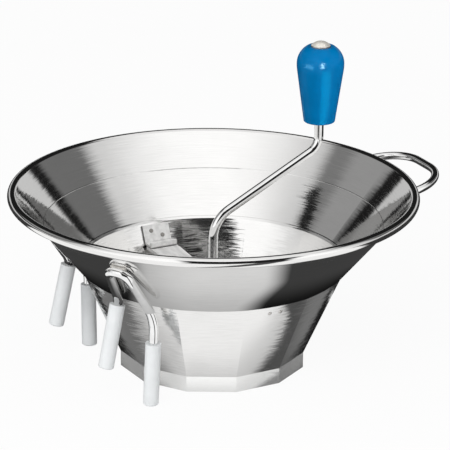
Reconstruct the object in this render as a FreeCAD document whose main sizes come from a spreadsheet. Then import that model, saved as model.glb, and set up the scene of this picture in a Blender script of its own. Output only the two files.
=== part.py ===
import FreeCAD, Part
import math
import os
import Sketcher

doc = FreeCAD.newDocument("FoodMill")
Vec = FreeCAD.Vector
UP = Vec(0, 0, 1)

# Driving sizes, in millimetres and degrees
SIZES = [
    # bowl
    ("rim_diameter", 310.0),
    ("bead_thickness", 7.6),
    ("rim_wire_gap", 0.1),
    ("curl_end", 210.0),
    ("sheet_gauge", 1.0),
    ("bowl_flare", 39.9),
    ("seam_radius", 102.1),
    ("seam_height", 78.0),
    ("seam_lap", 1.6),
    ("base_radius", 71.8),
    ("band_height", 12.0),
    ("facet_turn", 19.0),
    ("lip_reach", 6.0),
    # perforated disc
    ("disc_gauge", 1.2),
    ("disc_gap", 0.4),
    ("hole_diameter", 4.0),
    ("hole_pitch", 6.4),
    ("hole_margin", 1.5),
    ("disc_boss_radius", 7.0),
    # wall brackets and bridge
    ("bridge_turn", 2.5),
    ("bracket_width", 22.5),
    ("bracket_gauge", 1.6),
    ("bracket_headroom", 1.0),
    ("bracket_gap", 0.1),
    ("lip_height", 63.8),
    ("lip_curl", 4.0),
    ("lip_overlap", 8.0),
    ("weld_spot_radius", 1.5),
    ("weld_spot_height", 0.6),
    ("weld_spot_spread", 9.0),
    ("bar_width", 23.0),
    ("bar_gauge", 2.5),
    ("bar_slack", 0.4),
    ("bar_end_gap", 3.5),
    ("bar_end_length", 14.0),
    ("bar_rise", 5.5),
    ("bar_pad_half", 16.0),
    # bearing, spring and rotor
    ("seat_fit", 0.03),
    ("run_fit", 0.06),
    ("bush_radius", 6.0),
    ("bush_flange_radius", 9.0),
    ("bush_flange_gauge", 1.6),
    ("spring_wire", 2.0),
    ("spring_mean_radius", 9.0),
    ("spring_turns", 5.0),
    ("spring_play", 0.1),
    ("washer_radius", 11.5),
    ("washer_gauge", 1.5),
    ("hub_radius", 8.0),
    ("hub_length", 31.0),
    ("rotor_gap", 0.8),
    ("blade_clearance", 4.35),
    ("blade_gauge", 2.0),
    ("blade_rise", 26.5),
    ("blade_sweep", 310.0),
    ("pin_radius", 1.5),
    ("pin_height", 24.0),
    ("pin_inset", 0.5),
    ("collar_radius", 6.5),
    ("collar_length", 5.0),
    ("collar_gap", 0.4),
    # crank and knob
    ("rod_diameter", 7.0),
    ("crank_throw", 88.4),
    ("crank_low_bend", 111.0),
    ("crank_low_bend_radius", 24.0),
    ("crank_high_bend_radius", 14.0),
    ("knob_foot_height", 178.3),
    ("knob_neck", 20.3),
    ("knob_length", 59.0),
    ("knob_foot_radius", 12.0),
    ("knob_radius", 18.0),
    ("knob_side_radius", 35.0),
    ("knob_shoulder", 13.4),
    ("knob_top_radius", 10.4),
    ("knob_edge", 1.0),
    ("knob_play", 0.3),
    ("stop_radius", 5.5),
    ("stop_length", 2.5),
    ("cap_radius", 7.3),
    ("cap_height", 4.8),
    ("cap_edge", 1.6),
    ("cap_recess", 1.0),
    ("rod_end_depth", 2.4),
    # loop handle
    ("loop_wire", 6.0),
    ("loop_half_width", 41.0),
    ("loop_reach", 26.5),
    ("loop_corner", 32.0),
    ("loop_below_bead", 8.4),
    ("loop_tilt", 10.5),
    ("loop_leg", 20.0),
    ("loop_bend", 6.0),
    ("weld_gap", 0.05),
    ("weld_length", 12.0),
    ("weld_throat", 2.4),
    # pot hooks and sleeves
    ("hook_turn", 32.2),
    ("hook_wire", 7.0),
    ("hook_below_bead", 21.3),
    ("hook_neck_left", -4.5),
    ("hook_neck_right", 10.5),
    ("hook_neck_bend", 7.4),
    ("short_elbow_height", 1.2),
    ("short_elbow_offset", -13.6),
    ("short_elbow_standoff", 5.6),
    ("short_elbow_bend", 8.0),
    ("short_leg_drop", 50.5),
    ("short_leg_kick", 10.2),
    ("short_leg_splay", -4.4),
    ("long_elbow_offset", 15.5),
    ("long_leg_splay", -3.5),
    ("front_elbow_depth", 8.8),
    ("front_elbow_standoff", 3.4),
    ("front_elbow_bend", 40.0),
    ("front_leg_tuck", 1.5),
    ("back_elbow_depth", 18.6),
    ("back_elbow_standoff", -2.5),
    ("back_elbow_bend", 20.0),
    ("back_leg_tuck", 1.9),
    ("floor_gap", 0.3),
    ("sleeve_radius", 5.8),
    ("sleeve_length", 49.0),
    ("sleeve_tip", 1.6),
]
FACETS = 12
HALF_TURN = 180

sheet = doc.addObject("Spreadsheet::Sheet", "Sizes")
for row, (name, number) in enumerate(SIZES, 1):
    sheet.set("A%d" % row, name)
    sheet.set("B%d" % row, str(number))
    sheet.setAlias("B%d" % row, name)
doc.recompute()


class Size:
    """A driven size: its number now and the expression that keeps it so."""

    def __init__(self, value, text):
        self.value = value
        self.text = text

    def __add__(self, other):
        other = as_size(other)
        return Size(self.value + other.value, "(%s + %s)" % (self.text, other.text))

    def __sub__(self, other):
        other = as_size(other)
        return Size(self.value - other.value, "(%s - %s)" % (self.text, other.text))

    def __mul__(self, other):
        other = as_size(other)
        return Size(self.value * other.value, "(%s * %s)" % (self.text, other.text))

    def __truediv__(self, other):
        other = as_size(other)
        return Size(self.value / other.value, "(%s / %s)" % (self.text, other.text))

    def __neg__(self):
        return Size(-self.value, "(0 - %s)" % self.text)


def as_size(thing):
    if isinstance(thing, Size):
        return thing
    return Size(float(thing), "(%r)" % float(thing))


def sin_of(angle):
    return Size(math.sin(math.radians(angle.value)), "sin(%s)" % angle.text)


def cos_of(angle):
    return Size(math.cos(math.radians(angle.value)), "cos(%s)" % angle.text)


def root_of(square):
    return Size(math.sqrt(square.value), "sqrt(%s)" % square.text)


def cell(name):
    return Size(float(sheet.get(name)), "Sizes." + name)


NIL = as_size(0)


# Objects bound to the sheet
def bind(thing, prop, size):
    thing.setExpression(prop, as_size(size).text)


def place(thing, x=NIL, y=NIL, z=NIL, turn=NIL, axis=UP):
    base = Vec(as_size(x).value, as_size(y).value, as_size(z).value)
    thing.Placement = FreeCAD.Placement(base, FreeCAD.Rotation(axis, as_size(turn).value))
    for letter, size in (("x", x), ("y", y), ("z", z)):
        bind(thing, "Placement.Base." + letter, size)
    bind(thing, "Placement.Rotation.Angle", turn)
    return thing


def cylinder(name, radius, height, x=NIL, y=NIL, z=NIL, turn=NIL, axis=UP):
    thing = doc.addObject("Part::Cylinder", name)
    bind(thing, "Radius", radius)
    bind(thing, "Height", height)
    return place(thing, x, y, z, turn, axis)


def cone(name, low_radius, high_radius, height, z):
    thing = doc.addObject("Part::Cone", name)
    bind(thing, "Radius1", low_radius)
    bind(thing, "Radius2", high_radius)
    bind(thing, "Height", height)
    return place(thing, z=z)


def prism(name, corner_radius, height, z, turn):
    thing = doc.addObject("Part::Prism", name)
    thing.Polygon = FACETS
    bind(thing, "Circumradius", corner_radius)
    bind(thing, "Height", height)
    return place(thing, z=z, turn=turn)


def fuse(name, *pieces):
    thing = doc.addObject("Part::MultiFuse", name)
    thing.Shapes = list(pieces)
    return thing


def cut(name, base, tool):
    thing = doc.addObject("Part::Cut", name)
    thing.Base = base
    thing.Tool = tool
    return thing


def common(name, base, tool):
    thing = doc.addObject("Part::Common", name)
    thing.Base = base
    thing.Tool = tool
    return thing


def plain(name, shape, z=NIL):
    thing = doc.addObject("Part::Feature", name)
    thing.Shape = shape
    return place(thing, z=z)


def new_body(name):
    return doc.addObject("PartDesign::Body", name)


def sketch_on(body, role, name):
    sketch = body.newObject("Sketcher::SketchObject", name)
    plane = [item for item in body.Origin.OriginFeatures if item.Role == role][0]
    sketch.AttachmentSupport = [(plane, "")]
    sketch.MapMode = "FlatFace"
    return sketch


def rising_arc(here, middle, there):
    """The arc through three points, drawn anticlockwise, and whether it begins at the first."""
    through = Part.Arc(here, middle, there).toShape().Curve
    centre = through.Center
    forward = (middle - here).cross(there - middle).z > 0
    first, last = (here, there) if forward else (there, here)
    start = math.atan2(first.y - centre.y, first.x - centre.x)
    stop = math.atan2(last.y - centre.y, last.x - centre.x)
    if stop < start:
        stop += 2 * math.pi
    return Part.ArcOfCircle(Part.Circle(centre, UP, through.Radius), start, stop), forward


def outline(sketch, corners, arcs, closed=True):
    """Draw a chain of lines and arcs whose corners are all held by the sheet."""
    spots = [Vec(x.value, y.value, 0) for x, y in corners]
    count = len(spots) if closed else len(spots) - 1
    ends = []
    for i in range(count):
        here, there = spots[i], spots[(i + 1) % len(spots)]
        if i in arcs:
            middle = Vec(arcs[i][1][0], arcs[i][1][1], 0)
            arc, forward = rising_arc(here, middle, there)
            sketch.addGeometry(arc, False)
            ends.append((1, 2) if forward else (2, 1))
        else:
            sketch.addGeometry(Part.LineSegment(here, there), False)
            ends.append((1, 2))
    joints = count if closed else count - 1
    for i in range(joints):
        j = (i + 1) % count
        sketch.addConstraint(Sketcher.Constraint("Coincident", i, ends[i][1], j, ends[j][0]))
    held = [(i, ends[i][0], corners[i]) for i in range(count)]
    if not closed:
        held.append((count - 1, ends[-1][1], corners[-1]))
    for geometry, end, (x, y) in held:
        for kind, size in (("DistanceX", x), ("DistanceY", y)):
            fixed = Sketcher.Constraint(kind, -1, 1, geometry, end, size.value)
            number = sketch.addConstraint(fixed)
            sketch.setExpression("Constraints[%d]" % number, size.text)
    for i, (radius, _) in arcs.items():
        number = sketch.addConstraint(Sketcher.Constraint("Radius", i, radius.value))
        sketch.setExpression("Constraints[%d]" % number, radius.text)


def revolved(name, corners, arcs):
    body = new_body(name)
    sketch = sketch_on(body, "XZ_Plane", name + "_profile")
    outline(sketch, corners, arcs)
    turned = body.newObject("PartDesign::Revolution", name + "_turned")
    turned.Profile = sketch
    turned.ReferenceAxis = (sketch, ["V_Axis"])
    turned.Angle = 360
    return body


def padded(name, corners, width):
    body = new_body(name)
    sketch = sketch_on(body, "YZ_Plane", name + "_profile")
    outline(sketch, corners, {})
    pad = body.newObject("PartDesign::Pad", name + "_pad")
    pad.Profile = sketch
    pad.SideType = "Symmetric"
    bind(pad, "Length", width)
    return body


# Wires bent in space
def bent_path(points, bends):
    """Straight runs joined by tangent bends; one bend radius for each inner point."""
    edges = []
    start = points[0]
    for i in range(1, len(points) - 1):
        into = (points[i] - points[i - 1]).normalize()
        away = (points[i + 1] - points[i]).normalize()
        turn = into.getAngle(away)
        reach = bends[i - 1] * math.tan(turn / 2)
        first = points[i] - into * reach
        last = points[i] + away * reach
        inward = (away - into).normalize()
        middle = points[i] + inward * (bends[i - 1] / math.cos(turn / 2) - bends[i - 1])
        edges.append(Part.makeLine(start, first))
        edges.append(Part.Arc(first, middle, last).toShape())
        start = last
    edges.append(Part.makeLine(start, points[-1]))
    return Part.Wire(edges)


def tube_along(path, radius, start, direction):
    ring = Part.Wire([Part.makeCircle(radius, start, direction)])
    pipe = Part.BRepOffsetAPI.MakePipeShell(path)
    pipe.add(ring)
    pipe.build()
    pipe.makeSolid()
    return pipe.shape()


def bent_wire(points, bends, radius):
    path = bent_path(points, bends)
    return tube_along(path, radius, points[0], points[1] - points[0])


# Shared places on the bowl
gauge = cell("sheet_gauge")
flare = cell("bowl_flare")
flare_tan = sin_of(flare) / cos_of(flare)
seam_z = cell("seam_height")
seam_r = cell("seam_radius")
crease_r = seam_r - gauge / cos_of(flare)
inner_crease_r = crease_r - gauge / cos_of(flare)
bead_r = cell("bead_thickness") / 2
core_r = bead_r - gauge
bead_ring_r = cell("rim_diameter") / 2 - bead_r
bead_z = seam_z + ((bead_ring_r - seam_r) * cos_of(flare) - core_r) / sin_of(flare)
band_z = cell("band_height")
half_facet = as_size(HALF_TURN / FACETS)
band_flat_r = cell("base_radius") * cos_of(half_facet)
inner_flat_r = band_flat_r - gauge
wall_slope = (inner_crease_r - inner_flat_r) / (seam_z - band_z)
facet_turn = cell("facet_turn")

# Upper cone with its rolled bead
curl = cell("curl_end")
bowl_cone = revolved(
    "bowl_cone",
    [
        (crease_r, seam_z),
        (bead_ring_r - bead_r * cos_of(flare), bead_z + bead_r * sin_of(flare)),
        (bead_ring_r + bead_r * cos_of(curl), bead_z + bead_r * sin_of(curl)),
        (bead_ring_r + core_r * cos_of(curl), bead_z + core_r * sin_of(curl)),
        (bead_ring_r - core_r * cos_of(flare), bead_z + core_r * sin_of(flare)),
        (seam_r, seam_z),
    ],
    {
        1: (bead_r, (bead_ring_r.value + bead_r.value, bead_z.value)),
        3: (core_r, (bead_ring_r.value + core_r.value, bead_z.value)),
    },
)

# Wire rolled into the bead
rim_wire = doc.addObject("Part::Torus", "rim_wire")
bind(rim_wire, "Radius1", bead_ring_r)
bind(rim_wire, "Radius2", core_r - cell("rim_wire_gap"))
place(rim_wire, z=bead_z)


# Lower body, round at the seam and twelve-sided at the foot
def round_to_facets(name, top_radius, corner_radius):
    ring = doc.addObject("Part::Circle", name + "_ring")
    bind(ring, "Radius", top_radius)
    place(ring, z=seam_z, turn=facet_turn)
    polygon = doc.addObject("Part::RegularPolygon", name + "_polygon")
    polygon.Polygon = FACETS
    bind(polygon, "Circumradius", corner_radius)
    place(polygon, z=band_z, turn=facet_turn)
    loft = doc.addObject("Part::Loft", name)
    loft.Sections = [ring, polygon]
    loft.Solid = True
    loft.Ruled = True
    return loft


lap = cell("seam_lap")
inner_corner_r = inner_flat_r / cos_of(half_facet)
lip_r = inner_flat_r - cell("lip_reach")
funnel_outside = fuse(
    "funnel_outside",
    cone("lap_outside", crease_r, crease_r + lap * flare_tan, lap, seam_z),
    round_to_facets("wall_outside", crease_r, cell("base_radius")),
    prism("band_outside", cell("base_radius"), band_z, NIL, facet_turn),
)
funnel_inside = fuse(
    "funnel_inside",
    cone("lap_inside", inner_crease_r, inner_crease_r + lap * flare_tan, lap, seam_z),
    round_to_facets("wall_inside", inner_crease_r, inner_corner_r),
    prism("band_inside", inner_corner_r, band_z - gauge, gauge, facet_turn),
    cylinder("lip_opening", lip_r, gauge),
)
lower_funnel = cut("lower_funnel", funnel_outside, funnel_inside)

# Perforated disc lying on the lip
rod_r = cell("rod_diameter") / 2
disc_z = gauge
disc_top = disc_z + cell("disc_gauge")
disc_corner_r = (inner_flat_r - cell("disc_gap")) / cos_of(half_facet)
disc_blank = prism("disc_blank", disc_corner_r, cell("disc_gauge"), disc_z, facet_turn)


def disc_holes():
    """Holes on a triangular grid, and the bore at the middle for the rod."""
    radius = cell("hole_diameter").value / 2
    pitch = cell("hole_pitch").value
    farthest = lip_r.value - radius - cell("hole_margin").value
    nearest = cell("disc_boss_radius").value + radius
    depth = cell("disc_gauge").value
    holes = [Part.makeCylinder(rod_r.value + cell("run_fit").value, depth, Vec(0, 0, disc_z.value))]
    rows = int(farthest / pitch) + 2
    for row in range(-rows, rows + 1):
        for step in range(-rows, rows + 1):
            spot = Vec((step + 0.5 * (row % 2)) * pitch, row * pitch * math.sqrt(0.75), disc_z.value)
            reach = math.hypot(spot.x, spot.y)
            if nearest <= reach <= farthest:
                holes.append(Part.makeCylinder(radius, depth, spot))
    return Part.makeCompound(holes)


perforated_disc = cut("perforated_disc", disc_blank, plain("disc_holes", disc_holes()))

# Wall brackets, with a lip turned up at its edge
bracket_gauge = cell("bracket_gauge")
bracket_half = cell("bracket_width") / 2
lip_z = cell("lip_height")
bracket_off = bracket_half * bracket_half / (inner_crease_r * 2) + cell("bracket_gap")
bracket_depth = bracket_gauge * root_of(wall_slope * wall_slope + 1)


def wall_at(z):
    return inner_flat_r + (z - band_z) * wall_slope


bar_reach = wall_at(lip_z) - cell("bar_end_gap")
lip_edge = bar_reach - cell("lip_overlap")
bracket_top = seam_z - cell("bracket_headroom")


def bracket(name, turn):
    lip_top = lip_z + bracket_gauge
    corners = [
        (wall_at(bracket_top) - bracket_off, bracket_top),
        (wall_at(bracket_top) - bracket_off - bracket_depth, bracket_top),
        (wall_at(lip_top) - bracket_off - bracket_depth, lip_top),
        (lip_edge + bracket_gauge, lip_top),
        (lip_edge + bracket_gauge, lip_z + cell("lip_curl")),
        (lip_edge, lip_z + cell("lip_curl")),
        (lip_edge, lip_z),
        (wall_at(lip_z) - bracket_off, lip_z),
    ]
    return place(padded(name, corners, cell("bracket_width")), turn=turn)


bridge_turn = cell("bridge_turn")
bracket_back = bracket("bracket_back", bridge_turn)
bracket_front = bracket("bracket_front", bridge_turn + HALF_TURN)


# Weld spots on the brackets' faces
def weld_spots():
    slope = wall_slope.value
    normal = Vec(0, -1, slope).normalize()
    face_z = (bracket_top.value + lip_z.value + bracket_gauge.value) / 2
    spread = cell("weld_spot_spread").value / 2
    spots = []
    for turn in (bridge_turn.value, bridge_turn.value + HALF_TURN):
        for side in (-1, 1):
            height = face_z - 0.45 * side * spread
            face_y = wall_at(as_size(height)).value - bracket_off.value - bracket_depth.value
            foot = Vec(side * spread, face_y, height)
            spot = Part.makeCylinder(
                cell("weld_spot_radius").value, cell("weld_spot_height").value, foot, normal
            )
            spot.rotate(Vec(), UP, turn)
            spots.append(spot)
    return Part.makeCompound(spots)


bracket_welds = plain("bracket_welds", weld_spots())

# Bridge bar, its ends under the bracket lips
bar_gauge = cell("bar_gauge")
bar_top = lip_z - cell("bar_slack")
pad_top = bar_top - cell("bar_rise")
pad_low = pad_top - bar_gauge
bar_flat = bar_reach - cell("bar_end_length")
pad_half = cell("bar_pad_half")
bar_blank = padded(
    "bar_blank",
    [
        (-bar_reach, bar_top),
        (-bar_flat, bar_top),
        (-pad_half, pad_top),
        (pad_half, pad_top),
        (bar_flat, bar_top),
        (bar_reach, bar_top),
        (bar_reach, bar_top - bar_gauge),
        (bar_flat, bar_top - bar_gauge),
        (pad_half, pad_low),
        (-pad_half, pad_low),
        (-bar_flat, bar_top - bar_gauge),
        (-bar_reach, bar_top - bar_gauge),
    ],
    cell("bar_width"),
)
place(bar_blank, turn=bridge_turn)
bar_round = cylinder("bar_round", bar_reach, lip_z)
bush_hole = cylinder("bush_hole", cell("bush_radius"), lip_z)
bridge_bar = cut("bridge_bar", common("bar_ends", bar_blank, bar_round), bush_hole)

# Bearing bush in the bar
seat_fit = cell("seat_fit")
run_fit = cell("run_fit")
bush_top = pad_top + cell("bush_flange_gauge")
bush_stem = cylinder("bush_stem", cell("bush_radius") - seat_fit, bush_top - pad_low, z=pad_low)
bush_flange = cylinder("bush_flange", cell("bush_flange_radius"), cell("bush_flange_gauge"), z=pad_top)
bush_bore = cylinder("bush_bore", rod_r + run_fit, bush_top - pad_low, z=pad_low)
bridge_bush = cut("bridge_bush", fuse("bush_blank", bush_stem, bush_flange), bush_bore)

# Rotor hub, its cross pin and the thrust washer on top
hub_z = disc_top + cell("rotor_gap")
hub_top = hub_z + cell("hub_length")
pin_r = cell("pin_radius")
pin_z = cell("pin_height")
hub_r = cell("hub_radius")
TIPPED_ABOUT = Vec(1, 0, 0)


def cross_bar(name, radius, half):
    return cylinder(name, radius, half * 2, y=half, z=pin_z, turn=as_size(90), axis=TIPPED_ABOUT)


hub_blank = cylinder("hub_blank", hub_r, cell("hub_length"), z=hub_z)
hub_bore = cylinder("hub_bore", rod_r + seat_fit, cell("hub_length"), z=hub_z)
hub_openings = fuse("hub_openings", hub_bore, cross_bar("hub_pin_hole", pin_r + seat_fit, hub_r))
rotor_hub = cut("rotor_hub", hub_blank, hub_openings)
hub_pin = cross_bar("hub_pin", pin_r, hub_r - cell("pin_inset"))
washer_blank = cylinder("washer_blank", cell("washer_radius"), cell("washer_gauge"), z=hub_top)
washer_bore = cylinder("washer_bore", rod_r + run_fit, cell("washer_gauge"), z=hub_top)
thrust_washer = cut("thrust_washer", washer_blank, washer_bore)


# Helical blade round the hub, high at its leading edge
blade_r = inner_flat_r - cell("blade_clearance")


def blade_shape():
    rise = cell("blade_rise").value
    pitch = rise * 360 / cell("blade_sweep").value
    inner = Part.makeHelix(pitch, rise, hub_r.value + seat_fit.value)
    outer = Part.makeHelix(pitch, rise, blade_r.value)
    face = Part.makeRuledSurface(inner.Edges[0], outer.Edges[0])
    return face.extrude(UP * cell("blade_gauge").value)


helix_blade = plain("helix_blade", blade_shape(), z=hub_z)


# Pressure spring between the washer and the bar
def biarc(begin, begin_way, end, end_way):
    """Two arcs that leave and arrive along the given directions."""
    across = end - begin
    ways = begin_way + end_way
    spread = 2 * (1 - begin_way.dot(end_way))
    along = across.dot(ways)
    reach = (math.sqrt(along * along + spread * across.dot(across)) - along) / spread
    meet = (begin + end + (begin_way - end_way) * reach) * 0.5
    arcs = []
    for first, last, corner in (
        (begin, meet, begin + begin_way * reach),
        (meet, end, end - end_way * reach),
    ):
        centre = (first + last) * 0.5
        half = first.distanceToPoint(last) / 2
        rise = half * math.tan(math.acos(half / reach) / 2)
        middle = centre + (corner - centre).normalize() * rise
        arcs.append(Part.Arc(first, middle, last).toShape())
    return arcs


def spring_shape():
    wire_r = cell("spring_wire").value / 2
    radius = cell("spring_mean_radius").value
    play = cell("spring_play").value
    low = hub_top.value + cell("washer_gauge").value + wire_r + play
    high = pad_low.value - wire_r - play
    turns = cell("spring_turns").value
    climb = (high - low) / (2 * math.pi * turns)

    def spot(angle):
        return Vec(radius * math.cos(angle), radius * math.sin(angle), low + climb * angle)

    def way(angle):
        return Vec(-radius * math.sin(angle), radius * math.cos(angle), climb).normalize()

    quarters = int(round(turns * 4))
    angles = [2 * math.pi * turns * i / quarters for i in range(quarters + 1)]
    edges = []
    for a, b in zip(angles[:-1], angles[1:]):
        edges += biarc(spot(a), way(a), spot(b), way(b))
    samples = [spot(2 * math.pi * turns * i / 400) for i in range(401)]
    apart = int(400 / turns * 0.6)
    least = min(
        samples[i].distanceToPoint(samples[j])
        for i in range(401)
        for j in range(i + apart, 401)
    )
    print("spring: least gap to itself %.2f mm" % (least - 2 * wire_r))
    return tube_along(Part.Wire(edges), wire_r, spot(0), way(0))


pressure_spring = plain("pressure_spring", spring_shape())

# Crank rod in one plane, from the disc up to the knob
throw = cell("crank_throw")
low_z = cell("crank_low_bend")
knob_z = cell("knob_foot_height")
high_z = knob_z - cell("knob_neck")
slant = root_of(throw * throw + (high_z - low_z) * (high_z - low_z))
half_turn_tan = throw / (slant + high_z - low_z)
low_reach = cell("crank_low_bend_radius") * half_turn_tan
high_reach = cell("crank_high_bend_radius") * half_turn_tan
slant_x = throw / slant
slant_z = (high_z - low_z) / slant
knob_top = knob_z + cell("knob_length")
cap_z = knob_top - cell("cap_recess") + cell("knob_play")
rod_end = cap_z + cell("rod_end_depth")


def bend_middle(corner_x, corner_z, centre_x, centre_z, radius):
    away = math.hypot(centre_x - corner_x, centre_z - corner_z)
    share = 1 - radius / away
    return (corner_x + (centre_x - corner_x) * share, corner_z + (centre_z - corner_z) * share)


low_middle = bend_middle(
    0,
    low_z.value,
    cell("crank_low_bend_radius").value,
    low_z.value - low_reach.value,
    cell("crank_low_bend_radius").value,
)
high_middle = bend_middle(
    throw.value,
    high_z.value,
    throw.value - cell("crank_high_bend_radius").value,
    high_z.value + high_reach.value,
    cell("crank_high_bend_radius").value,
)
rod_body = new_body("rod_body")
rod_path = sketch_on(rod_body, "XZ_Plane", "rod_path")
outline(
    rod_path,
    [
        (NIL, disc_z),
        (NIL, low_z - low_reach),
        (low_reach * slant_x, low_z + low_reach * slant_z),
        (throw - high_reach * slant_x, high_z - high_reach * slant_z),
        (throw, high_z + high_reach),
        (throw, rod_end),
    ],
    {
        1: (cell("crank_low_bend_radius"), low_middle),
        3: (cell("crank_high_bend_radius"), high_middle),
    },
    closed=False,
)
rod_ring = sketch_on(rod_body, "XY_Plane", "rod_ring")
rod_ring.AttachmentOffset = FreeCAD.Placement(Vec(0, 0, disc_z.value), FreeCAD.Rotation())
bind(rod_ring, "AttachmentOffset.Base.z", disc_z)
rod_ring.addGeometry(Part.Circle(Vec(), UP, rod_r.value), False)
rod_ring.addConstraint(Sketcher.Constraint("Coincident", 0, 3, -1, 1))
ring_radius = rod_ring.addConstraint(Sketcher.Constraint("Radius", 0, rod_r.value))
rod_ring.setExpression("Constraints[%d]" % ring_radius, rod_r.text)
rod_pipe = rod_body.newObject("PartDesign::AdditivePipe", "rod_pipe")
rod_pipe.Profile = rod_ring
rod_pipe.Spine = rod_path
crank_rod = cut("crank_rod", rod_body, cross_bar("rod_pin_hole", pin_r + seat_fit, rod_r * 2))

# Collar on the rod above the bush
collar_z = bush_top + cell("collar_gap")
collar_blank = cylinder("collar_blank", cell("collar_radius"), cell("collar_length"), z=collar_z)
collar_bore = cylinder("collar_bore", rod_r + seat_fit, cell("collar_length"), z=collar_z)
rod_collar = cut("rod_collar", collar_blank, collar_bore)

# Knob, turned about its own axis and set over the crank's end
play = cell("knob_play")
foot_r = cell("knob_foot_radius")
edge = cell("knob_edge")
wide_r = cell("knob_radius")
length = cell("knob_length")
wide_z = length - cell("knob_shoulder")
top_r = cell("knob_top_radius")
well_r = cell("stop_radius") + play
well_z = cell("stop_length") + play
seat_r = cell("cap_radius") + play
seat_z = length - cell("cap_recess")
bore_r = rod_r + run_fit


def arc_middle(radius, offset):
    """Point halfway along an arc from the widest place to a height offset from it."""
    across = math.asin(offset / radius.value) / 2
    inset = radius.value * (1 - math.cos(across))
    return (wide_r.value - inset, wide_z.value + radius.value * math.sin(across))


# A straight taper from the foot, touching an arc that is upright at the widest place
side_radius = cell("knob_side_radius")
reach_x = foot_r - wide_r + side_radius
reach_z = wide_z - edge
reach_square = reach_x * reach_x + reach_z * reach_z
along = side_radius * side_radius / reach_square
across = side_radius * root_of(reach_square - side_radius * side_radius) / reach_square
taper_r = wide_r - side_radius + reach_x * along + reach_z * across
taper_z = wide_z - reach_z * along + reach_x * across

# A rounder arc over the shoulder, upright at the widest place too
shoulder_inset = wide_r - top_r
shoulder_rise = length - wide_z
shoulder_radius = (shoulder_inset * shoulder_inset + shoulder_rise * shoulder_rise) / (shoulder_inset * 2)
edge_middle = (foot_r.value - edge.value * (1 - math.sqrt(0.5)), edge.value * (1 - math.sqrt(0.5)))
knob_grip = revolved(
    "knob_grip",
    [
        (bore_r, well_z),
        (well_r, well_z),
        (well_r, NIL),
        (foot_r - edge, NIL),
        (foot_r, edge),
        (taper_r, taper_z),
        (wide_r, wide_z),
        (top_r, length),
        (seat_r, length),
        (seat_r, seat_z),
        (bore_r, seat_z),
    ],
    {
        3: (edge, edge_middle),
        5: (side_radius, arc_middle(side_radius, taper_z.value - wide_z.value)),
        6: (shoulder_radius, arc_middle(shoulder_radius, shoulder_rise.value)),
    },
)
place(knob_grip, x=throw, z=knob_z)

# Stop ring in the knob's foot and the domed cap on the rod's end
stop_blank = cylinder("stop_blank", cell("stop_radius"), cell("stop_length"), x=throw, z=knob_z)
stop_bore = cylinder("stop_bore", rod_r + seat_fit, cell("stop_length"), x=throw, z=knob_z)
knob_stop = cut("knob_stop", stop_blank, stop_bore)
cap_r = cell("cap_radius")
cap_h = cell("cap_height")
cap_edge = cell("cap_edge")
crown = cap_h - cap_edge
crown_radius = (cap_r * cap_r + crown * crown) / (crown * 2)
crown_half = math.asin(cap_r.value / crown_radius.value) / 2
crown_middle = (
    crown_radius.value * math.sin(crown_half),
    cap_h.value - crown_radius.value * (1 - math.cos(crown_half)),
)
knob_cap = revolved(
    "knob_cap",
    [
        (rod_r + seat_fit, NIL),
        (cap_r, NIL),
        (cap_r, cap_edge),
        (NIL, cap_h),
        (NIL, cell("rod_end_depth")),
        (rod_r + seat_fit, cell("rod_end_depth")),
    ],
    {2: (crown_radius, crown_middle)},
)
place(knob_cap, x=throw, z=cap_z)


# Wires welded to the outside of the cone
def cone_at(z):
    return seam_r.value + (z - seam_z.value) * flare_tan.value


def off_cone(z, gap):
    return cone_at(z) + gap / cos_of(flare).value


def solid_cone():
    rise = bead_z.value - seam_z.value
    return Part.makeCone(seam_r.value, cone_at(bead_z.value), rise, Vec(0, 0, seam_z.value))


def fillet_weld(wire, begin, finish, outward):
    """Filler in the corners between a straight run of wire and the cone."""
    run = finish - begin
    length = min(cell("weld_length").value, run.Length)
    throat = cell("weld_throat").value
    middle = (begin + finish) * 0.5 - outward * throat
    way = Vec(run).normalize()
    bar = Part.makeCylinder(throat, length, middle - way * (length / 2), way)
    return bar.cut(wire).cut(solid_cone())


weld_gap = cell("weld_gap").value
flare_angle = math.radians(flare.value)

# Loop handle on the +X side, its legs down along the cone
loop_r = cell("loop_wire").value / 2
loop_half = cell("loop_half_width").value
loop_knee_z = bead_z.value - cell("loop_below_bead").value
loop_knee_r = off_cone(loop_knee_z, loop_r + weld_gap)
loop_side = math.asin(loop_half / loop_knee_r)
loop_nose = bead_ring_r.value + bead_r.value + cell("loop_reach").value
loop_slope = math.tan(math.radians(cell("loop_tilt").value))
loop_drop = cell("loop_leg").value * math.cos(flare_angle)


def loop_leg(side):
    foot_z = loop_knee_z - loop_drop
    radii = ((off_cone(foot_z, loop_r + weld_gap), foot_z), (loop_knee_r, loop_knee_z))
    angle = side * loop_side
    return [Vec(r * math.cos(angle), r * math.sin(angle), z) for r, z in radii]


def loop_corner(side):
    knee_x = loop_knee_r * math.cos(loop_side)
    return Vec(loop_nose, side * loop_half, loop_knee_z + (loop_nose - knee_x) * loop_slope)


loop_points = loop_leg(-1) + [loop_corner(-1), loop_corner(1)] + loop_leg(1)[::-1]
loop_bends = [
    cell("loop_bend").value,
    cell("loop_corner").value,
    cell("loop_corner").value,
    cell("loop_bend").value,
]
loop_shape = bent_wire(loop_points, loop_bends, loop_r)
loop_handle = plain("loop_handle", loop_shape)


def cone_normal(angle):
    return Vec(
        math.cos(angle) * math.cos(flare_angle),
        math.sin(angle) * math.cos(flare_angle),
        -math.sin(flare_angle),
    )


loop_welds = []
for side in (-1, 1):
    foot, knee = loop_leg(side)
    stub = foot + (knee - foot) * 0.75
    loop_welds.append(fillet_weld(loop_shape, foot, stub, cone_normal(side * loop_side)))
handle_welds = plain("handle_welds", Part.makeCompound(loop_welds))

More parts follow.
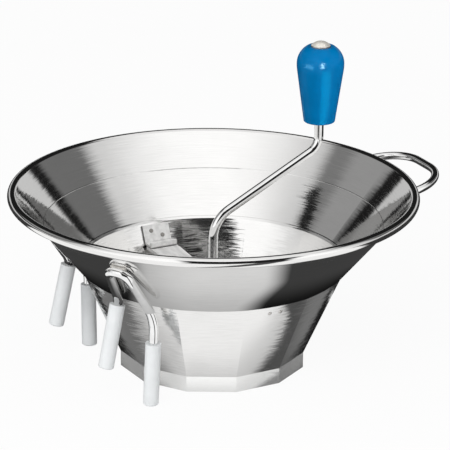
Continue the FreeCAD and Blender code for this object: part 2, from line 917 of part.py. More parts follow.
# Pot hooks on the -X side: a hairpin with a short leg kicked out and a long upright leg
hook_r = cell("hook_wire").value / 2
hook_angle = math.radians(HALF_TURN - cell("hook_turn").value)
hook_z = bead_z.value - cell("hook_below_bead").value
sleeve_r = cell("sleeve_radius").value
sleeve_tip = cell("sleeve_tip").value


def hook_points(which, side):
    """A hook's corners, from the short leg's end to the long leg's end; side is -1 at the front."""

    def spot(radius, aside, z):
        forward = math.sqrt(radius * radius - aside * aside)
        along = Vec(math.cos(hook_angle), side * math.sin(hook_angle), 0)
        across = Vec(math.sin(hook_angle), -side * math.cos(hook_angle), 0)
        return along * forward + across * aside + UP * z

    half_neck = (cell("hook_neck_right").value - cell("hook_neck_left").value) / 2
    neck_r = math.hypot(off_cone(hook_z, hook_r + weld_gap), half_neck)
    short_z = seam_z.value + cell("short_elbow_height").value
    short_r = cone_at(short_z) + cell("short_elbow_standoff").value
    short_aside = cell("short_elbow_offset").value
    long_z = seam_z.value - cell(which + "_elbow_depth").value
    long_r = seam_r.value + cell(which + "_elbow_standoff").value
    long_aside = cell("long_elbow_offset").value
    return [
        spot(
            short_r + cell("short_leg_kick").value,
            short_aside + cell("short_leg_splay").value,
            short_z - cell("short_leg_drop").value,
        ),
        spot(short_r, short_aside, short_z),
        spot(neck_r, cell("hook_neck_left").value, hook_z),
        spot(neck_r, cell("hook_neck_right").value, hook_z),
        spot(long_r, long_aside, long_z),
        spot(
            long_r - cell(which + "_leg_tuck").value,
            long_aside + cell("long_leg_splay").value,
            cell("floor_gap").value + sleeve_tip,
        ),
    ]


def hook_bends(which):
    neck_bend = cell("hook_neck_bend").value
    long_bend = cell(which + "_elbow_bend").value
    return [cell("short_elbow_bend").value, neck_bend, neck_bend, long_bend]


front_points = hook_points("front", -1)
back_points = hook_points("back", 1)


def sleeve(points):
    """A closed-ended sleeve over the last straight run of a hook's leg."""
    tip, next_corner = points
    way = (next_corner - tip).normalize()
    length = cell("sleeve_length").value
    outside = Part.makeCylinder(sleeve_r, length, tip - way * sleeve_tip, way)
    near = 2 * sleeve_tip
    bottom = [e for e in outside.Edges if e.Closed and e.CenterOfMass.distanceToPoint(tip) < near]
    outside = outside.makeFillet(sleeve_tip * 0.9, bottom)
    inside = Part.makeCylinder(hook_r + seat_fit.value, length, tip, way)
    return outside.cut(inside)


front_shape = bent_wire(front_points, hook_bends("front"), hook_r)
back_shape = bent_wire(back_points, hook_bends("back"), hook_r)
hook_front = plain("hook_front", front_shape)
hook_back = plain("hook_back", back_shape)
hook_weld_shapes = []
for shape, points in ((front_shape, front_points), (back_shape, back_points)):
    middle = (points[2] + points[3]) * 0.5
    normal = cone_normal(math.atan2(middle.y, middle.x))
    half_run = (points[3] - points[2]) * 0.5
    hook_weld_shapes.append(fillet_weld(shape, middle - half_run, middle + half_run, normal))
hook_welds = plain("hook_welds", Part.makeCompound(hook_weld_shapes))
sleeve_front_short = plain("sleeve_front_short", sleeve(front_points[:2]))
sleeve_front_long = plain("sleeve_front_long", sleeve(front_points[:3:-1]))
sleeve_back_short = plain("sleeve_back_short", sleeve(back_points[:2]))
sleeve_back_long = plain("sleeve_back_long", sleeve(back_points[:3:-1]))

# Recompute, check and write every piece
NODES = {
    "bowl_cone": bowl_cone,
    "rim_wire": rim_wire,
    "lower_funnel": lower_funnel,
    "perforated_disc": perforated_disc,
    "bracket_back": bracket_back,
    "bracket_front": bracket_front,
    "bracket_welds": bracket_welds,
    "loop_handle": loop_handle,
    "handle_welds": handle_welds,
    "hook_front": hook_front,
    "hook_back": hook_back,
    "hook_welds": hook_welds,
    "sleeve_front_short": sleeve_front_short,
    "sleeve_front_long": sleeve_front_long,
    "sleeve_back_short": sleeve_back_short,
    "sleeve_back_long": sleeve_back_long,
    "bridge_bar": bridge_bar,
    "bridge_bush": bridge_bush,
    "pressure_spring": pressure_spring,
    "thrust_washer": thrust_washer,
    "crank_rod": crank_rod,
    "rotor_hub": rotor_hub,
    "helix_blade": helix_blade,
    "hub_pin": hub_pin,
    "rod_collar": rod_collar,
    "knob_grip": knob_grip,
    "knob_stop": knob_stop,
    "knob_cap": knob_cap,
}
for node, thing in NODES.items():
    thing.Label = node
doc.recompute()
for thing in doc.Objects:
    if "Invalid" in thing.State or "Error" in thing.State:
        raise SystemExit("%s failed: %s" % (thing.Label, thing.State))
os.makedirs("parts", exist_ok=True)
for node, thing in NODES.items():
    shape = thing.Shape
    if shape.isNull() or not shape.isValid():
        raise SystemExit("%s has no sound shape" % node)
    box = shape.BoundBox
    told = (node, len(shape.Solids), shape.Volume, box.ZMin, box.ZMax)
    print("%-20s solids %d volume %.0f  z %.1f to %.1f" % told)
    shape.exportStep("parts/%s.step" % node)
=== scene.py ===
import bmesh
import bpy
import math
from mathutils import Matrix, Quaternion, Vector


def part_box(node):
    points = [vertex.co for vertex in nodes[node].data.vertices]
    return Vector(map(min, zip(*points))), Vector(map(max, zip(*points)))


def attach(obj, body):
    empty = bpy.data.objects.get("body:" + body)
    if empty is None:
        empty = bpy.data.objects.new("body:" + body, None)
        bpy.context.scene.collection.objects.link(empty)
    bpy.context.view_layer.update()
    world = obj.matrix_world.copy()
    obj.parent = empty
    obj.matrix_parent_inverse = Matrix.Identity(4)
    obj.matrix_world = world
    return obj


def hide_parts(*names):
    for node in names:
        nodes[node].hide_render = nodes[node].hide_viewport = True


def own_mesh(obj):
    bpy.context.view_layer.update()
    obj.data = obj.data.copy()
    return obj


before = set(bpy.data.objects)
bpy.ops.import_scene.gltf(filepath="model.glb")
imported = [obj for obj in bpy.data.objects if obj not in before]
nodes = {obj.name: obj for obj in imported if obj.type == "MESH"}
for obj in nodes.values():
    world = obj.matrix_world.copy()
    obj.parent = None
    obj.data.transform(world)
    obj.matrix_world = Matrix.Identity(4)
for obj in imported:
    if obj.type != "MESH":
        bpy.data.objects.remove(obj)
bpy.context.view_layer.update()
scene = bpy.context.scene
scene.view_settings.view_transform = "Standard"

MM = 0.001
UP = Vector((0.0, 0.0, 1.0))
# The camera looks along this heading in the model's frame
HEADING = math.radians(26.0)
RIGHT = Vector((math.cos(HEADING), -math.sin(HEADING), 0.0))
AWAY = Vector((math.sin(HEADING), math.cos(HEADING), 0.0))


# Node trees
class Tree:
    def __init__(self, tree):
        self.tree = tree
        tree.nodes.clear()

    def add(self, kind, inputs=None, **settings):
        made = self.tree.nodes.new(kind)
        for name, value in settings.items():
            setattr(made, name, value)
        for key, value in (inputs or {}).items():
            self.feed(made.inputs[key], value)
        return made

    def feed(self, socket, value):
        if isinstance(value, bpy.types.NodeSocket):
            self.tree.links.new(value, socket)
        else:
            socket.default_value = value

    def end(self, shader, kind="ShaderNodeOutputMaterial"):
        self.feed(self.add(kind).inputs["Surface"], shader.outputs[0])

    def math(self, operation, a, b=0.0, c=0.0):
        made = self.add("ShaderNodeMath", {0: a, 1: b, 2: c}, operation=operation)
        return made.outputs[0]

    def times(self, first, *others):
        for other in others:
            first = self.math("MULTIPLY", first, other)
        return first

    def largest(self, first, *others):
        for other in others:
            first = self.math("MAXIMUM", first, other)
        return first

    def line(self, value, slope, base):
        """The base plus the value times the slope."""
        return self.math("MULTIPLY_ADD", value, slope, base)

    def between(self, value, low, high, to_low=0.0, to_high=1.0):
        """A smooth step from to_low, at the value low, to to_high, at the value high."""
        made = self.add(
            "ShaderNodeMapRange",
            {"Value": value, "From Min": low, "From Max": high, "To Min": to_low, "To Max": to_high},
            interpolation_type="SMOOTHSTEP",
        )
        return made.outputs["Result"]

    def vector(self, operation, a, b=(0.0, 0.0, 0.0)):
        made = self.add("ShaderNodeVectorMath", {0: a, 1: b}, operation=operation)
        return made.outputs["Value" if operation in ("DOT_PRODUCT", "LENGTH") else "Vector"]

    def scaled(self, a, factor):
        made = self.add("ShaderNodeVectorMath", {0: a, "Scale": factor}, operation="SCALE")
        return made.outputs["Vector"]

    def place(self):
        """Where a point is at rest, in the model's frame."""
        return self.add("ShaderNodeTexCoord").outputs["Object"]

    def flat(self):
        return self.vector("MULTIPLY", self.place(), (1.0, 1.0, 0.0))

    def height(self):
        return self.vector("DOT_PRODUCT", self.place(), tuple(UP))

    def noise(self, vector, scale, detail=2.0, roughness=0.5):
        made = self.add(
            "ShaderNodeTexNoise",
            {"Vector": vector, "Scale": scale, "Detail": detail, "Roughness": roughness},
        )
        return made.outputs[0]

    def stretched_noise(self, stretch, detail):
        return self.noise(self.vector("MULTIPLY", self.place(), stretch), 1.0, detail, 0.6)

    def blend(self, factor, a, b):
        made = self.add("ShaderNodeMix", data_type="RGBA")
        self.feed(made.inputs[0], factor)
        self.feed(made.inputs[6], a)
        self.feed(made.inputs[7], b)
        return made.outputs[2]

    def bump(self, height, strength, distance, normal=None):
        inputs = {"Height": height, "Strength": strength, "Distance": distance}
        if normal is not None:
            inputs["Normal"] = normal
        return self.add("ShaderNodeBump", inputs).outputs["Normal"]

    def glow(self, level):
        return self.add("ShaderNodeEmission", {"Color": level, "Strength": 1.0})

    def mix(self, factor, a, b):
        made = self.add("ShaderNodeMixShader", {0: factor})
        self.feed(made.inputs[1], a.outputs[0])
        self.feed(made.inputs[2], b.outputs[0])
        return made


def rgb(red, green, blue):
    return (red, green, blue, 1.0)


def toned(tone, factor):
    return rgb(*[min(1.0, part * factor) for part in tone])


def material(name, **inputs):
    made = bpy.data.materials.new(name)
    made.use_nodes = True
    tree = Tree(made.node_tree)
    named = {key.replace("_", " "): value for key, value in inputs.items()}
    shader = tree.add("ShaderNodeBsdfPrincipled", named)
    tree.end(shader)
    return made, tree, shader


# Brushing lines that run round the bowl's axis
def ring_noise(tree, around, across, detail, roughness):
    """Noise drawn out into rings: how dense it is round the axis, and from ring to ring."""
    flat = tree.flat()
    rise = tree.math("ADD", tree.height(), tree.vector("LENGTH", flat))
    lift = tree.add("ShaderNodeCombineXYZ", {"Z": tree.times(rise, across)}).outputs[0]
    place = tree.vector("ADD", tree.scaled(tree.vector("NORMALIZE", flat), around), lift)
    return tree.noise(place, 1.0, detail, roughness)


def ring_tangent(tree):
    return tree.vector("NORMALIZE", tree.vector("CROSS_PRODUCT", tuple(UP), tree.flat()))


def brushed_steel(name, tone, rough, sway, per_metre, pale_below=None):
    """Steel brushed round the axis.

    rough is its roughness, sway how far the lines tilt the mirror, and per_metre how dense the lines are.
    Below the height pale_below, where one is given, the steel is paler and less metallic.
    """
    made, tree, shader = material(name, Metallic=1.0, Anisotropic=0.55, Anisotropic_Rotation=0.25)
    lines = ring_noise(tree, 5.0, per_metre, detail=3.0, roughness=0.6)
    fine = ring_noise(tree, 9.0, per_metre * 3.0, detail=2.0, roughness=0.6)
    broad = ring_noise(tree, 3.0, 24.0, detail=3.0, roughness=0.55)
    mixed = tree.line(fine, 0.35, tree.times(lines, 0.65))
    shade = tree.between(tree.line(broad, 0.5, mixed), 0.5, 1.0)
    colour = tree.blend(shade, toned(tone, 0.95), toned(tone, 1.04))
    if pale_below is not None:
        edge = 0.2 * MM
        bright = tree.between(tree.height(), pale_below - edge, pale_below + edge)
        colour = tree.blend(bright, rgb(0.97, 0.97, 0.96), colour)
        tree.feed(shader.inputs["Metallic"], tree.line(bright, 0.25, 0.75))
    tree.feed(shader.inputs["Base Color"], colour)
    tree.feed(shader.inputs["Roughness"], tree.between(mixed, 0.44, 0.64, rough * 0.7, rough * 1.5))
    tilt = tree.times(tree.math("SUBTRACT", mixed, 0.5), sway)
    normal = tree.add("ShaderNodeNewGeometry").outputs["Normal"]
    leaned = tree.vector("NORMALIZE", tree.vector("ADD", normal, tree.scaled(ring_tangent(tree), tilt)))
    tree.feed(shader.inputs["Normal"], tree.bump(mixed, 0.25, 0.03 * MM, leaned))
    tangent = tree.add("ShaderNodeTangent", direction_type="RADIAL", axis="Z")
    tree.feed(shader.inputs["Tangent"], tangent.outputs[0])
    return made


# Other finishes
def painted_crease_shade(tree, unshaded, tone):
    """The given colour, with painted shade where other surfaces stand close."""
    close = 3.0 * MM
    free = tree.add("ShaderNodeAmbientOcclusion", {"Distance": close}, samples=8).outputs["AO"]
    return tree.blend(tree.between(free, 0.42, 0.85), toned(tone, 0.08), unshaded)


def plated_steel(name, tone, rough, grain, metal=1.0, shade_creases=False):
    """Dull plated sheet with a faint rolled grain, which is given as its density along each axis."""
    made, tree, shader = material(name, Metallic=metal)
    rolled = tree.stretched_noise(grain, 3.0)
    cloud = tree.noise(tree.place(), 160.0, 3.0, 0.6)
    shade = tree.line(cloud, 0.4, tree.times(rolled, 0.6))
    colour = tree.blend(tree.between(shade, 0.35, 0.65), toned(tone, 0.85), toned(tone, 1.08))
    # Painted shade in the creases, darkest where other parts stand close
    if shade_creases:
        colour = painted_crease_shade(tree, colour, tone)
    tree.feed(shader.inputs["Base Color"], colour)
    tree.feed(shader.inputs["Roughness"], tree.between(cloud, 0.3, 0.7, rough * 0.8, rough * 1.2))
    tree.feed(shader.inputs["Normal"], tree.bump(shade, 0.2, 0.05 * MM))
    return made


def chrome_wire(name, tone, rough):
    """Bright plated wire with fine handling scratches."""
    made, tree, shader = material(name, Metallic=1.0)
    cloud = tree.noise(tree.place(), 90.0, 3.0, 0.6)
    scratch = tree.stretched_noise((900.0, 900.0, 160.0), 2.0)
    colour = tree.blend(tree.between(cloud, 0.3, 0.7), toned(tone, 0.9), rgb(*tone))
    tree.feed(shader.inputs["Base Color"], colour)
    tree.feed(shader.inputs["Roughness"], tree.between(scratch, 0.35, 0.75, rough * 0.7, rough * 1.8))
    tree.feed(shader.inputs["Normal"], tree.bump(scratch, 0.06, 0.02 * MM))
    return made


def moulded(name, tone, rough, vary, **inputs):
    """Moulded plastic: faint colour cloud, soft waviness and fine scuffs."""
    made, tree, shader = material(name, **inputs)
    cloud = tree.noise(tree.place(), 70.0, 3.0, 0.55)
    scuff = tree.stretched_noise((1400.0, 1400.0, 500.0), 3.0)
    colour = tree.blend(tree.between(cloud, 0.3, 0.7), toned(tone, 1 - vary), toned(tone, 1 + vary))
    tree.feed(shader.inputs["Base Color"], colour)
    tree.feed(shader.inputs["Roughness"], tree.between(scuff, 0.3, 0.75, rough * 0.8, rough * 1.3))
    wave = tree.bump(cloud, 0.15, 0.3 * MM)
    tree.feed(shader.inputs["Normal"], tree.bump(scuff, 0.05, 0.03 * MM, wave))
    return made


# Finishes of the CAD nodes
SHEET = (0.86, 0.855, 0.845)
BAND_TOP = 12.0 * MM
EVEN_GRAIN = (500.0, 500.0, 500.0)
FINE_GRAIN = (700.0, 700.0, 700.0)
cone_steel = brushed_steel("cone_steel", SHEET, rough=0.08, sway=0.12, per_metre=1300.0)
funnel_steel = brushed_steel(
    "funnel_steel", SHEET, rough=0.14, sway=0.46, per_metre=620.0, pale_below=BAND_TOP
)
disc_steel = brushed_steel("disc_steel", (0.74, 0.735, 0.725), rough=0.28, sway=0.10, per_metre=700.0)
turned_steel = brushed_steel("turned_steel", (0.72, 0.72, 0.72), rough=0.22, sway=0.05, per_metre=2600.0)
# The plate and the cap take painted shade in their creases
plate_steel = plated_steel("plate_steel", SHEET, 0.42, (260.0, 40.0, 260.0), metal=0.4, shade_creases=True)
blade_steel = plated_steel("blade_steel", (0.72, 0.72, 0.71), 0.45, (60.0, 60.0, 420.0))
weld_steel = plated_steel("weld_steel", (0.72, 0.70, 0.67), 0.30, EVEN_GRAIN)
burnt_steel = plated_steel("burnt_steel", (0.30, 0.29, 0.27), 0.35, EVEN_GRAIN, metal=0.5)
cap_nickel = plated_steel("cap_nickel", (0.86, 0.82, 0.75), 0.24, FINE_GRAIN, metal=0.3, shade_creases=True)
bush_brass = plated_steel("bush_brass", (0.78, 0.58, 0.27), 0.25, (300.0, 300.0, 900.0))
wire_chrome = chrome_wire("wire_chrome", (0.93, 0.93, 0.925), rough=0.045)
spring_wire = chrome_wire("spring_wire", (0.55, 0.55, 0.54), rough=0.22)
sleeve_white = moulded("sleeve_white", (0.80, 0.82, 0.83), rough=0.42, vary=0.03)
knob_blue = moulded("knob_blue", (0.0, 0.152, 0.385), rough=0.2, vary=0.06, Specular_IOR_Level=0.06)

FINISHES = {
    cone_steel: ("bowl_cone",),
    funnel_steel: ("lower_funnel",),
    disc_steel: ("perforated_disc",),
    turned_steel: ("thrust_washer", "rotor_hub", "rod_collar", "knob_stop", "hub_pin"),
    plate_steel: ("bracket_back", "bracket_front", "bridge_bar"),
    blade_steel: ("helix_blade",),
    weld_steel: ("handle_welds", "hook_welds"),
    burnt_steel: ("bracket_welds",),
    cap_nickel: ("knob_cap",),
    bush_brass: ("bridge_bush",),
    wire_chrome: ("rim_wire", "loop_handle", "hook_front", "hook_back", "crank_rod"),
    spring_wire: ("pressure_spring",),
    sleeve_white: ("sleeve_front_short", "sleeve_front_long", "sleeve_back_short", "sleeve_back_long"),
    knob_blue: ("knob_grip",),
}
for finish, names in FINISHES.items():
    for name in names:
        for holder in nodes[name].material_slots:
            holder.material = finish

# The steel doesn't mirror the knob
nodes["knob_grip"].visible_glossy = False


# Pieces built as meshes
def piece(name, verts, faces, finish, body):
    mesh = bpy.data.meshes.new(name)
    mesh.from_pydata([tuple(v) for v in verts], [], faces)
    mesh.update()
    shaped = bmesh.new()
    shaped.from_mesh(mesh)
    bmesh.ops.recalc_face_normals(shaped, faces=shaped.faces)
    shaped.to_mesh(mesh)
    shaped.free()
    for face in mesh.polygons:
        face.use_smooth = True
    mesh.materials.append(finish)
    made = bpy.data.objects.new(name, mesh)
    scene.collection.objects.link(made)
    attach(made, body)
    return made


def circle(count):
    """The angles of points set evenly round a circle."""
    return [step * math.tau / count for step in range(count)]


def ringed(rows, closed_rows=False):
    """Faces that join rows of points, each row closed on itself."""
    faces = []
    count = len(rows[0])
    pairs = len(rows) if closed_rows else len(rows) - 1
    for row in range(pairs):
        after = (row + 1) % len(rows)
        for i in range(count):
            j = (i + 1) % count
            faces.append((row * count + i, row * count + j, after * count + j, after * count + i))
    return faces


# Coil spring between the washer and the bridge, its end turns drawn closer
def spring_piece():
    turns = 5.0
    mean = 9.0 * MM
    wire = 1.0 * MM
    low = 36.6 * MM
    high = 54.3 * MM
    steps = 260
    sides = 14
    draw_in = 0.3
    rows = []
    for step in range(steps + 1):
        share = step / steps
        angle = share * turns * math.tau
        eased = share - draw_in / math.tau * math.sin(share * math.tau)
        out = Vector((math.cos(angle), math.sin(angle), 0.0))
        centre = out * mean + UP * (low + (high - low) * eased)
        rows.append([centre + (out * math.cos(t) + UP * math.sin(t)) * wire for t in circle(sides)])
    faces = ringed(rows)
    faces.append(tuple(range(sides)))
    faces.append(tuple(range(steps * sides, (steps + 1) * sides)))
    made = piece("coil_spring", sum(rows, []), faces, spring_wire, "bridge")
    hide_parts("pressure_spring")
    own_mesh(made)


# Fine ridge left by spinning, round the inside of the upper cone
def ridge_piece():
    flare = math.radians(39.9)
    seam_height = 78.0 * MM
    seam_radius = 100.8 * MM
    height = 110.5 * MM
    half = 0.55 * MM
    proud = 0.12 * MM
    sunk = 0.1 * MM
    around = 240
    along = Vector((math.sin(flare), 0.0, math.cos(flare)))
    inward = Vector((-along.z, 0.0, along.x))
    foot = Vector((seam_radius + (height - seam_height) * math.tan(flare), 0.0, height))
    profile = [
        foot - along * half - inward * sunk,
        foot - along * half * 0.5 + inward * proud * 0.8,
        foot + inward * proud,
        foot + along * half * 0.5 + inward * proud * 0.8,
        foot + along * half - inward * sunk,
    ]
    rows = [[Matrix.Rotation(turn, 3, "Z") @ point for turn in circle(around)] for point in profile]
    piece("spinning_ridge", sum(rows, []), ringed(rows, True), cone_steel, "bowl")


# Marks of the brackets' spot welds on the outside of the lower body
def weld_marks():
    body = nodes["lower_funnel"]
    to_body = body.matrix_world.inverted()
    bridge_turn = 2.5
    outside = 0.2
    height = 70.0 * MM
    spread = 4.5 * MM
    radius = 1.7 * MM
    proud = 0.3 * MM
    sides = 16
    dome = ((1.0, -0.2), (0.85, 0.6), (0.45, 1.0))
    verts = []
    faces = []
    for quarter in (-90.0, 90.0):
        azimuth = math.radians(quarter + bridge_turn)
        way = Vector((math.cos(azimuth), math.sin(azimuth), 0.0))
        for aside in (-spread, spread):
            start = way * outside + UP.cross(way) * aside + UP * height
            spot, normal = body.ray_cast(to_body @ start, to_body.to_3x3() @ -way)[1:3]
            spot = body.matrix_world @ spot
            normal = (body.matrix_world.to_3x3() @ normal).normalized()
            side = normal.cross(UP).normalized()
            rise = side.cross(normal)
            first = len(verts)
            rows = []
            for reach, lift in dome:
                rows.append([
                    spot + (side * math.cos(t) + rise * math.sin(t)) * radius * reach + normal * proud * lift
                    for t in circle(sides)
                ])
            verts += sum(rows, [])
            faces += [tuple(first + corner for corner in face) for face in ringed(rows)]
            last = first + (len(dome) - 1) * sides
            faces.append(tuple(range(last, last + sides)))
            faces.append(tuple(range(first, first + sides)))
    piece("weld_marks", verts, faces, weld_steel, "bowl")


# Floor, and cards that only mirrors show
def staged(name, verts, faces):
    """A floor or card object, and the empty tree of its material."""
    mesh = bpy.data.meshes.new(name)
    mesh.from_pydata([tuple(v) for v in verts], [], faces)
    made = bpy.data.objects.new(name, mesh)
    scene.collection.objects.link(made)
    finish = bpy.data.materials.new(name)
    finish.use_nodes = True
    mesh.materials.append(finish)
    return made, Tree(finish.node_tree)


def flat_place(tree):
    """Where a point lies, in millimetres: to the right, away from the camera, and from the axis."""
    spot = tree.add("ShaderNodeNewGeometry").outputs["Position"]
    flat = tree.vector("MULTIPLY", spot, (1.0 / MM, 1.0 / MM, 0.0))
    right = tree.vector("DOT_PRODUCT", flat, tuple(RIGHT))
    away = tree.vector("DOT_PRODUCT", flat, tuple(AWAY))
    return right, away, tree.vector("LENGTH", flat)


def floor_in_mirrors(tree):
    """How bright the metal sees the floor."""
    right, away, reach = flat_place(tree)
    # How far to the left a point is, from 0 to 1
    left = tree.between(right, -20.0, -60.0)
    # Bright wash in front of the foot, softer on the left
    wash = tree.times(
        tree.between(tree.line(left, 14.0, away), -60.0, -100.0, 0.60, 0.98),
        tree.between(away, tree.line(left, 15.0, -57.0), tree.line(left, -9.0, -65.0)),
        tree.between(right, 110.0, 96.0),
        tree.between(right, -150.0, -110.0),
    )
    # Dim floor at the sides, almost dark in a wedge that opens backward from the foot's front
    wedge = tree.line(tree.math("ABSOLUTE", right), -1.1, away)
    dim = tree.times(
        tree.largest(tree.between(away, -60.0, 5.0, 0.08, 0.19), tree.times(left, 0.17)),
        tree.between(wedge, -90.0, -104.0, 0.05, 1.0),
    )
    # Lit floor close behind the foot
    rear = tree.times(tree.between(away, 70.0, 100.0), tree.between(reach, 165.0, 150.0), 0.85)
    under = tree.largest(tree.between(reach, 170.0, 150.0, 0.05, 1.0), tree.between(away, -85.0, -105.0))
    near = tree.times(tree.largest(wash, dim, rear), under)
    # Open floor outside the bowl, dark behind it
    behind = tree.line(right, 0.25, away)
    far = tree.times(tree.between(reach, 140.0, 180.0), tree.between(behind, -10.0, 30.0, 1.0, 0.04))
    # Dark stripe that runs out to the front and right
    slope = tree.math("DIVIDE", tree.math("ADD", right, 52.0), tree.math("SUBTRACT", -89.0, away))
    stripe = tree.times(
        tree.between(slope, 0.40, 0.50),
        tree.between(slope, 1.00, 0.88),
        tree.between(away, -132.0, -140.0),
    )
    return tree.times(tree.largest(near, far), tree.line(stripe, -0.92, 1.0))


def make_floor():
    """White paper that fades out to the camera, but for a faint shadow."""
    half = 4.0
    height = -0.2 * MM
    faded = 0.94
    corners = ((-half, -half), (half, -half), (half, half), (-half, half))
    verts = [RIGHT * x + AWAY * y + UP * height for x, y in corners]
    tree = staged("floor", verts, [(0, 1, 2, 3)])[1]
    paper = tree.blend(tree.noise(tree.place(), 30.0, 3.0), rgb(0.80, 0.80, 0.80), rgb(0.84, 0.84, 0.84))
    matte = tree.add("ShaderNodeBsdfDiffuse", {"Color": paper})
    white = tree.glow(rgb(1.0, 1.0, 1.0))
    mirrored = tree.glow(floor_in_mirrors(tree))
    path = tree.add("ShaderNodeLightPath").outputs
    plain = tree.mix(tree.times(path["Is Camera Ray"], faded), matte, white)
    tree.end(tree.mix(path["Is Glossy Ray"], plain, mirrored))


def mirror_card(name, verts, faces):
    """A card that only mirrors show, and the empty tree of its material."""
    card, tree = staged(name, verts, faces)
    card.visible_camera = False
    card.visible_diffuse = False
    card.visible_shadow = False
    card.visible_transmission = False
    return tree


def make_card():
    """A ring of card below the upper cone: lit in front and behind, dark at the sides."""
    inner = 100.0 * MM
    outer = 136.0 * MM
    height = 75.0 * MM
    around = 120
    rows = []
    for radius in (inner, outer):
        rows.append([Vector((radius * math.cos(t), radius * math.sin(t), height)) for t in circle(around)])
    tree = mirror_card("ring_card", sum(rows, []), ringed(rows))
    right, away, reach = flat_place(tree)
    # The turn round the axis is zero in front and grows to the right
    turn = tree.math("ARCTAN2", right, tree.times(away, -1.0))
    drawn_in = tree.between(reach, 99.0, 120.0, 0.22, 0.0)
    front = tree.times(
        tree.between(tree.math("ADD", turn, drawn_in), 0.63, 0.37),
        tree.between(turn, -0.70, -0.46),
        tree.between(turn, -0.70, -0.10, 0.64, 1.0),
        tree.between(reach, 94.0, 127.0, 0.50, 0.74),
    )
    rear = tree.between(tree.math("ABSOLUTE", turn), 1.9, 2.4, 0.0, 0.70)
    sides = tree.between(reach, 98.0, 118.0, 0.005, 0.05)
    tree.end(tree.glow(tree.largest(front, sides, rear)))


def make_flag():
    """A narrow dark flag over the bowl, mirrored low on the right of its inside."""
    centre = RIGHT * -39.1 * MM + AWAY * 93.5 * MM + UP * 187.5 * MM
    across = RIGHT * 0.100 + AWAY * 0.995
    upward = RIGHT * 0.647 + AWAY * -0.065 + UP * 0.760
    corners = ((-17.0, -22.0), (2.0, -22.0), (11.5, 20.0), (1.0, 20.0))
    verts = [centre + (across * u + upward * v) * MM for u, v in corners]
    tree = mirror_card("dark_flag", verts, [(0, 1, 2, 3)])
    spot = tree.add("ShaderNodeNewGeometry").outputs["Position"]
    tree.end(tree.glow(tree.times(tree.noise(spot, 200.0), 0.03)))


# Studio round the object: plain white to the camera, light and dark areas to the metal
def studio_in_mirrors(tree):
    """How bright the metal sees the studio in each direction."""
    way = tree.add("ShaderNodeTexCoord").outputs["Generated"]
    height = tree.vector("DOT_PRODUCT", way, tuple(UP))
    front = tree.vector("DOT_PRODUCT", way, tuple(-AWAY))
    side = tree.vector("DOT_PRODUCT", way, tuple(RIGHT))
    # Lit half in front
    turned = tree.line(side, 0.08, front)
    edge = tree.between(turned, -0.20, 0.03, 0.0, 0.70)
    middle = tree.between(turned, 0.0, 0.52, 0.0, 0.45)
    lit = tree.times(tree.math("ADD", edge, middle), tree.between(height, -0.2, 0.05))
    # Dark doorway in the lit half
    door = tree.times(
        tree.between(side, -0.32, -0.22),
        tree.between(side, 0.72, 0.58),
        tree.between(height, 0.80, 0.72),
        tree.between(front, 0.3, 0.45),
    )
    # Pale skirting and grey panel all round, with the panel dusky at the left
    skirting = tree.times(
        tree.between(height, 0.02, 0.06),
        tree.between(tree.line(side, -0.048, height), 0.268, 0.222),
        tree.line(side, 0.05, 0.60),
    )
    dusk = tree.times(tree.between(front, -0.30, -0.15), tree.between(side, 0.0, -0.3))
    panel = tree.times(
        tree.between(tree.line(side, -0.02, height), 0.332, 0.39),
        tree.line(side, -0.10, 0.24),
        tree.line(dusk, -0.35, 1.0),
    )
    # Dark dome high behind, and a white ceiling
    dome = tree.times(
        tree.between(tree.line(front, -0.753, height), 0.86, 0.96),
        tree.between(front, -0.05, -0.2),
    )
    wall = tree.times(tree.largest(skirting, panel), tree.line(dome, -1.0, 1.0))
    ceiling = tree.between(height, 0.78, 0.86, 0.012, 0.9)
    return tree.times(tree.largest(wall, ceiling, lit), tree.line(door, -0.985, 1.0))


def make_world():
    world = bpy.data.worlds.new("studio")
    world.use_nodes = True
    scene.world = world
    tree = Tree(world.node_tree)
    studio = tree.add("ShaderNodeBackground", {"Color": studio_in_mirrors(tree), "Strength": 1.0})
    white = tree.add("ShaderNodeBackground", {"Color": rgb(1.0, 1.0, 1.0), "Strength": 1.0})
    seen = tree.add("ShaderNodeLightPath").outputs["Is Camera Ray"]
    tree.end(tree.mix(seen, studio, white), "ShaderNodeOutputWorld")


# Camera at the photograph's angle, and lamps
def aim(thing, place, target):
    thing.location = place
    thing.rotation_mode = "QUATERNION"
    thing.rotation_quaternion = (target - place).to_track_quat("-Z", "Y")
    scene.collection.objects.link(thing)


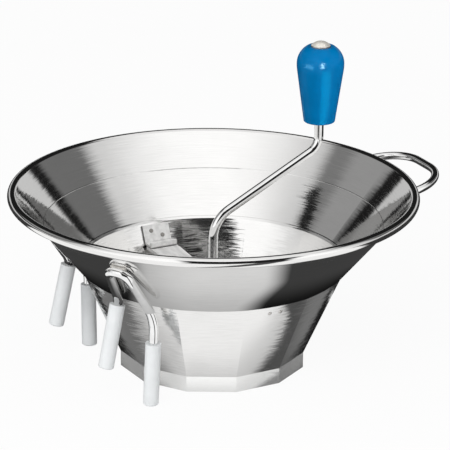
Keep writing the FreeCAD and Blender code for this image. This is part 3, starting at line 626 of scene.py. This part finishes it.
def make_camera():
    data = bpy.data.cameras.new("camera")
    data.sensor_width = 36.0
    data.lens = 227.2
    data.clip_start = 0.1
    data.clip_end = 20.0
    camera = bpy.data.objects.new("camera", data)
    place = Vector((-0.8784, -1.8210, 0.8225))
    target = Vector((0.0079, -0.0039, 0.1074))
    roll = Quaternion((0.0, 0.0, 1.0), 0.0115)
    aim(camera, place, target)
    camera.rotation_quaternion = camera.rotation_quaternion @ roll
    scene.camera = camera


def area_lamp(name, place, target, size, energy):
    data = bpy.data.lights.new(name, "AREA")
    data.shape = "RECTANGLE"
    data.size, data.size_y = size
    data.energy = energy
    lamp = bpy.data.objects.new(name, data)
    aim(lamp, place, target)
    return lamp


def make_lamp():
    """Soft lamp in front, which the mirrors don't show."""
    place = RIGHT * -0.5 + AWAY * -1.9 + UP * 1.5
    target = UP * 0.1
    lamp = area_lamp("soft_lamp", place, target, size=(1.4, 1.4), energy=30.0)
    lamp.visible_glossy = False


def make_knob_lamps():
    """Lamps that shine on the knob alone: three that glint on it, and a soft fill from the right.

    Each stands in a direction from the knob's middle, given to the right, away from the camera and up.
    """
    only_knob = bpy.data.collections.new("only_knob")
    only_knob.objects.link(nodes["knob_grip"])
    low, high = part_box("knob_grip")
    middle = (Vector(low) + Vector(high)) / 2.0
    pale = (0.6, 0.95, 1.0)
    sky = (0.4, 0.95, 1.0)
    cyan = (0.0, 0.85, 1.0)
    for name, way, distance, size, energy, tint, glints in (
        ("knob_glint", (0.145, -0.98, 0.13), 1.0, (0.26, 0.42), 60.0, pale, True),
        ("knob_sheen", (-0.843, -0.532, -0.07), 1.0, (0.7, 0.25), 20.0, sky, True),
        ("knob_streak", (0.42, -0.73, -0.54), 0.12, (0.09, 0.09), 0.45, cyan, True),
        ("knob_fill", (0.80, -0.55, 0.10), 1.0, (0.3, 0.3), 3.6, pale, False),
    ):
        right, away, up = way
        heading = (RIGHT * right + AWAY * away + UP * up).normalized()
        lamp = area_lamp(name, middle + heading * distance, middle, size, energy)
        lamp.data.color = tint
        lamp.visible_camera = False
        lamp.visible_glossy = glints
        lamp.visible_diffuse = not glints
        lamp.light_linking.receiver_collection = only_knob


spring_piece()
ridge_piece()
weld_marks()
make_knob_lamps()
make_camera()
make_lamp()
make_floor()
make_card()
make_flag()
make_world()
